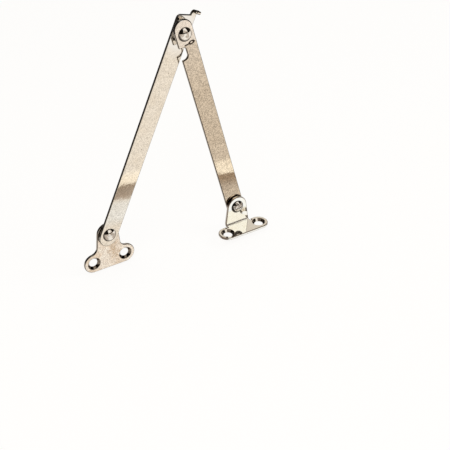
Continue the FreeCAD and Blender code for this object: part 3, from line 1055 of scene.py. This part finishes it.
@dataclass
class FrontArm:
    """The arm in front, with its notch and a dark line across it below the centre rivet."""

    stay: Stay
    bore_reach: Span = (3.5 * MM, 4.5 * MM)
    back_tilt: float = 0.5
    face_tilt: float = 0.97
    crown_reach: float = 1.0 * MM
    crown_highlight: Span = (97.0, 117.0)

    def finishes(self) -> tuple[Nickel, Nickel, Nickel]:
        """The arm's three finishes.

        Returns:
            Brown-tinged grainy plating with its head painted pale as light, pale plating painted as light,
            and the crown's edge painted dark as shade.
        """
        down = self.stay.down_front()
        strip = LitHeadNickel("nickel_front_arm", face=(0.585, 0.475, 0.352), cloud=(0.50, 0.39, 0.272),
                              cloud_share=0.32, grain=0.36, pit_share=0.9, pits_kept=0.6,
                              ripple=0.009 * MM, smooth=0.04, rough=0.075, run=tuple(down),
                              pivot=tuple(self.stay.centre_axle()), down=tuple(down),
                              outward=(-down.z, 0.0, down.x))
        # Painted light: the hidden back is painted pale so that the back arm mirrors it light; it also
        # paints the highlight in the crown's edge.
        hidden = Nickel("nickel_front_arm_back", face=(0.97, 0.94, 0.90), cloud=(0.92, 0.88, 0.82),
                        run=tuple(down))
        # Painted shade: the crown's edge round the top of the head is near-black.
        crown = EvenNickel("nickel_front_arm_crown_shade", face=(0.03, 0.022, 0.018),
                           cloud=(0.10, 0.075, 0.055), cloud_size=3.0 * MM)
        return strip, hidden, crown

    def choose(self, middle: Vector, way: Vector, rounded: bool) -> int:
        """Tells which finish a face has.

        Args:
            middle: The face's middle.
            way: The way it looks.
            rounded: Whether it is a rounding; not used.

        Returns:
            1 for the back and for a short painted highlight in the crown's edge, 2 for the rest of that
            edge, painted shade, else 0.
        """
        if way.y > self.back_tilt:
            return 1
        below = (middle - self.stay.centre_axle()).dot(self.stay.down_front())
        if abs(way.y) > self.face_tilt or below > self.crown_reach:
            return 0
        low, high = self.crown_highlight
        return 1 if low < math.degrees(math.atan2(way.z, way.x)) < high else 2

    def build(self) -> None:
        """Builds and dresses the arm, its hidden face painted pale as light, like the back arm round the
        centre rivet.
        """
        bores = list(zip((self.stay.centre_axle(), Vector(self.stay.bracket_axle)), self.bore_reach))
        Sheet("front_arm_strip", "front_arm", "front", "nickel_arm", bores).build(
            self.finishes(), self.choose)


@dataclass
class BackArm:
    """The arm behind, whose bent finger stops the joint."""

    stay: Stay
    bore_reach: Span = (5.0 * MM, 3.5 * MM)

    def finishes(self) -> tuple[Nickel, Nickel, Nickel]:
        """The arm's three finishes.

        Returns:
            The strip's plating with painted light round the centre rivet, the finger's smooth plating, and
            the finger's roundings painted dark as shade.
        """
        strip = PivotLitNickel("nickel_back_arm", run=tuple(self.stay.down_back()),
                             pivot=tuple(self.stay.centre_axle()))
        finger = EvenNickel("nickel_finger", grain=0.03, smooth=0.04, rough=0.07, ripple=0.006 * MM)
        # Painted shade: the finger's roundings are near-black.
        outline = EvenNickel("nickel_finger_edge_shade", face=(0.05, 0.038, 0.03), cloud=(0.16, 0.12, 0.09),
                             cloud_size=2.0 * MM)
        return strip, finger, outline

    def choose(self, middle: Vector, way: Vector, rounded: bool) -> int:
        """Tells which finish a face has.

        Args:
            middle: The face's middle.
            way: The way it looks; not used.
            rounded: Whether it is a rounding.

        Returns:
            0 for the strip, and 1, or 2 on the roundings, painted dark as shade, for the finger that stands
            proud of it.
        """
        if middle.y > self.stay.plate_face - SLACK:
            return 0
        return 2 if rounded else 1

    def build(self) -> None:
        """Builds and dresses the arm, its finger smoother than the strip."""
        bores = list(zip((self.stay.centre_axle(), self.stay.plate_axle()), self.bore_reach))
        Sheet("back_arm_strip", "back_arm", "back", "nickel_arm", bores).build(self.finishes(), self.choose)


@dataclass
class FlatPlate:
    """The flat screw plate behind the back arm, with two countersunk holes."""

    stay: Stay
    hole_pitch: float = 18.6 * MM
    hole_drop: float = 16.5 * MM
    sink_width: float = 7.4 * MM
    stain_drop: Place = (3.1 * MM, 2.0 * MM, -11.5 * MM)
    bore_reach: float = 4.2 * MM
    set_back: float = 2.0 * MM

    def holes(self) -> list[Vector]:
        """The middles of the two screw holes."""
        axle = self.stay.plate_axle()
        return [axle + Vector((side * self.hole_pitch / 2, 0.0, -self.hole_drop)) for side in (-1, 1)]

    def choose(self, middle: Vector, way: Vector, rounded: bool) -> int:
        """Tells which finish a face has.

        Args:
            middle: The face's middle.
            way: The way it looks; not used.
            rounded: Whether it is a rounding; not used.

        Returns:
            1 in a screw hole, else 0.
        """
        return int(any(math.hypot(middle.x - hole.x, middle.z - hole.z) < self.sink_width / 2 - SLACK
                       for hole in self.holes()))

    def build(self) -> None:
        """Builds and dresses the plate, its countersinks painted darker as shade."""
        middle = self.stay.plate_axle() + Vector(self.stain_drop)
        plate = StainedNickel("nickel_plate", stain_middle=tuple(middle), face=(0.85, 0.74, 0.62),
                              cloud=(0.66, 0.51, 0.36), cloud_size=7.0 * MM, cloud_share=0.7, grain=0.28,
                              pit_share=0.9)
        bores = [(place + Vector((0.0, self.set_back, 0.0)), self.bore_reach)
                 for place in (*self.holes(), self.stay.plate_axle())]
        Sheet("flat_plate_sheet", "flat_plate", "plate", "nickel_plate", bores).build(
            (plate, sink_plating("nickel_plate_sink")), self.choose)


@dataclass
class AngleBracket:
    """The folded bracket: an upright that carries the front arm, and a foot with two screw ears."""

    hole_pitch: float = 20.6 * MM
    sink_width: float = 7.4 * MM
    foot_gauge: float = 1.5 * MM
    axle: Place = (0.0, 7.0 * MM, 11.8 * MM)
    edge_round: float = 0.38 * MM
    bore_reach: float = 4.2 * MM
    axle_reach: float = 3.5 * MM
    shaded_sink_lean: float = 0.3

    def finishes(self) -> tuple[Nickel, Nickel, Nickel, Nickel]:
        """The bracket's four finishes.

        Returns:
            The sheet's pale plating, a countersink finish painted dark as shade and one painted bright as
            light, and the roundings painted brown as shade.
        """
        # Painted shade: the rim colour makes a dark brown line at the fold; the rounding finish paints the
        # roundings dark brown.
        plate = Nickel("nickel_bracket", face=(0.995, 0.97, 0.895), cloud=(0.93, 0.86, 0.74),
                       cloud_share=0.5, grain=0.08, rim=(0.10, 0.06, 0.035), rim_shade_turn=(0.93, 0.82),
                       flats=Flats.FOLDED)
        # Painted light: the countersink walls that don't lean sideways are painted bright.
        bright = sink_plating("nickel_bracket_sink_lit", (0.86, 0.80, 0.70), 0.45)
        rounding = EvenNickel("nickel_bracket_rounding_shade", face=(0.22, 0.165, 0.125),
                              cloud=(0.30, 0.24, 0.18), cloud_size=3.0 * MM)
        return plate, sink_plating("nickel_bracket_sink"), bright, rounding

    def choose(self, middle: Vector, way: Vector, rounded: bool) -> int:
        """Tells which finish a face has.

        Args:
            middle: The face's middle.
            way: The way it looks.
            rounded: Whether it is a rounding.

        Returns:
            1 in a countersink where it leans sideways, painted shade, 2 in the rest of it, painted light, 3
            on a rounding, painted shade, else 0.
        """
        low = middle.z < self.foot_gauge + 2 * SLACK
        if low and any(math.hypot(middle.x - side * self.hole_pitch / 2, middle.y)
                       < self.sink_width / 2 - SLACK for side in (-1, 1)):
            return 1 if abs(way.x) > self.shaded_sink_lean else 2
        return 3 if rounded else 0

    def build(self) -> None:
        """Builds and dresses the bracket, its countersinks painted darker as shade, lighter as painted
        light where they don't lean sideways.
        """
        bores = [(Vector((side * self.hole_pitch / 2, 0.0, self.foot_gauge / 2)), self.bore_reach)
                 for side in (-1, 1)]
        bores.append((Vector(self.axle), self.axle_reach))
        Sheet("angle_bracket_sheet", "angle_bracket", "bracket", "nickel_plate", bores,
              self.edge_round).build(self.finishes(), self.choose)


@dataclass
class Joints:
    """The three rivets and the three washers of the joints."""

    stay: Stay
    end_grip: float = 3.5 * MM
    centre_grip: float = 5.0 * MM

    def build(self) -> None:
        """Builds and dresses rivets and washers."""
        stay = self.stay
        for part in (
            Rivet("bracket_rivet_turned", "bracket_rivet", "front", Vector(stay.bracket_axle),
                  self.end_grip, Tail.FLUSH, SHADED_RIVET_PLATING),
            Rivet("centre_rivet_turned", "centre_rivet", "front", stay.centre_axle(), self.centre_grip,
                  Tail.CLOSED),
            Rivet("plate_rivet_turned", "plate_rivet", "plate", stay.plate_axle(), self.end_grip,
                  Tail.FLUSH),
            Washer("bracket_washer_ring", "bracket_washer", "front"),
            Washer("centre_spacer_ring", "centre_spacer", "front"),
            Washer("plate_washer_ring", "plate_washer", "plate"),
        ):
            part.build()


def main() -> None:
    """Builds the studio, the camera and the dressed stay."""
    logging.basicConfig(level=logging.INFO, format="%(message)s")
    bpy.context.scene.view_settings.view_transform = "Standard"
    Studio().build()
    Viewpoint().build()
    stay = Stay()
    for part in (FrontArm(stay), BackArm(stay), FlatPlate(stay), AngleBracket(), Joints(stay)):
        part.build()


if __name__ == "__main__":
    main()
